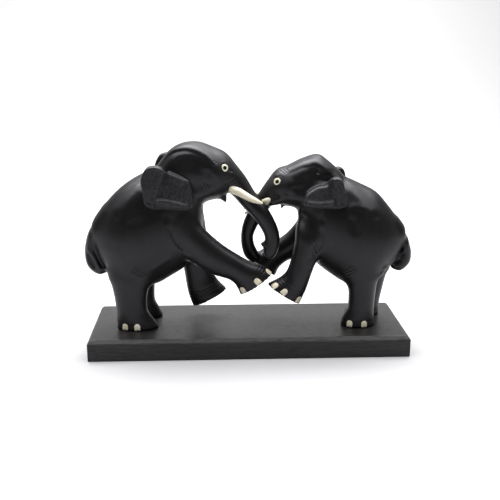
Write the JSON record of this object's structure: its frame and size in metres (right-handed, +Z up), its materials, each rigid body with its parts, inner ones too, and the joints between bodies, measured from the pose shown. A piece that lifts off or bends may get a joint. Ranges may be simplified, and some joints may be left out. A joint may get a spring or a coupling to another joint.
{
  "type": "carved elephant pair",
  "caption": "Two dark carved wooden elephants rearing head to head on a chamfered plinth, with bone tusks, eyes and toenails.",
  "frame": {"origin": "centre of the plinth's underside", "axes": "+X runs along the plinth from the left elephant to the right one, -Y is the side that faces the viewer, +Z is up"},
  "size_m": [0.334, 0.105, 0.2096],
  "materials": {
    "polished_ebony": "near-black ebony, hand polished to a satin sheen",
    "stained_plinth_wood": "dark stained wood with its grain showing, satin, chamfer worn lighter",
    "bone": "polished cream bone with soft streaks",
    "black_horn": "polished black horn",
    "steel_screw": "plain steel"
  },
  "bodies": {
    "root": {"plinth": "stained_plinth_wood", "left_elephant": "polished_ebony", "right_elephant": "polished_ebony", "left_near_tusk": "bone", "left_far_tusk": "bone", "right_near_tusk": "bone", "right_far_tusk": "bone", "left_near_eye_ring": "bone", "left_far_eye_ring": "bone", "right_near_eye_ring": "bone", "right_far_eye_ring": "bone", "left_near_pupil": "black_horn", "left_far_pupil": "black_horn", "right_near_pupil": "black_horn", "right_far_pupil": "black_horn", "left_near_fore_nail_1": "bone", "left_near_fore_nail_2": "bone", "left_near_fore_nail_3": "bone", "left_far_fore_nail_1": "bone", "left_far_fore_nail_2": "bone", "left_far_fore_nail_3": "bone", "left_near_hind_nail_1": "bone", "left_near_hind_nail_2": "bone", "left_far_hind_nail_1": "bone", "left_far_hind_nail_2": "bone", "right_near_fore_nail_1": "bone", "right_near_fore_nail_2": "bone", "right_near_fore_nail_3": "bone", "right_far_fore_nail_1": "bone", "right_far_fore_nail_2": "bone", "right_far_fore_nail_3": "bone", "right_near_hind_nail_1": "bone", "right_near_hind_nail_2": "bone", "right_far_hind_nail_1": "bone", "right_far_hind_nail_2": "bone", "left_near_screw": "steel_screw", "left_far_screw": "steel_screw", "right_near_screw": "steel_screw", "right_far_screw": "steel_screw"}
  },
  "joints": []
}
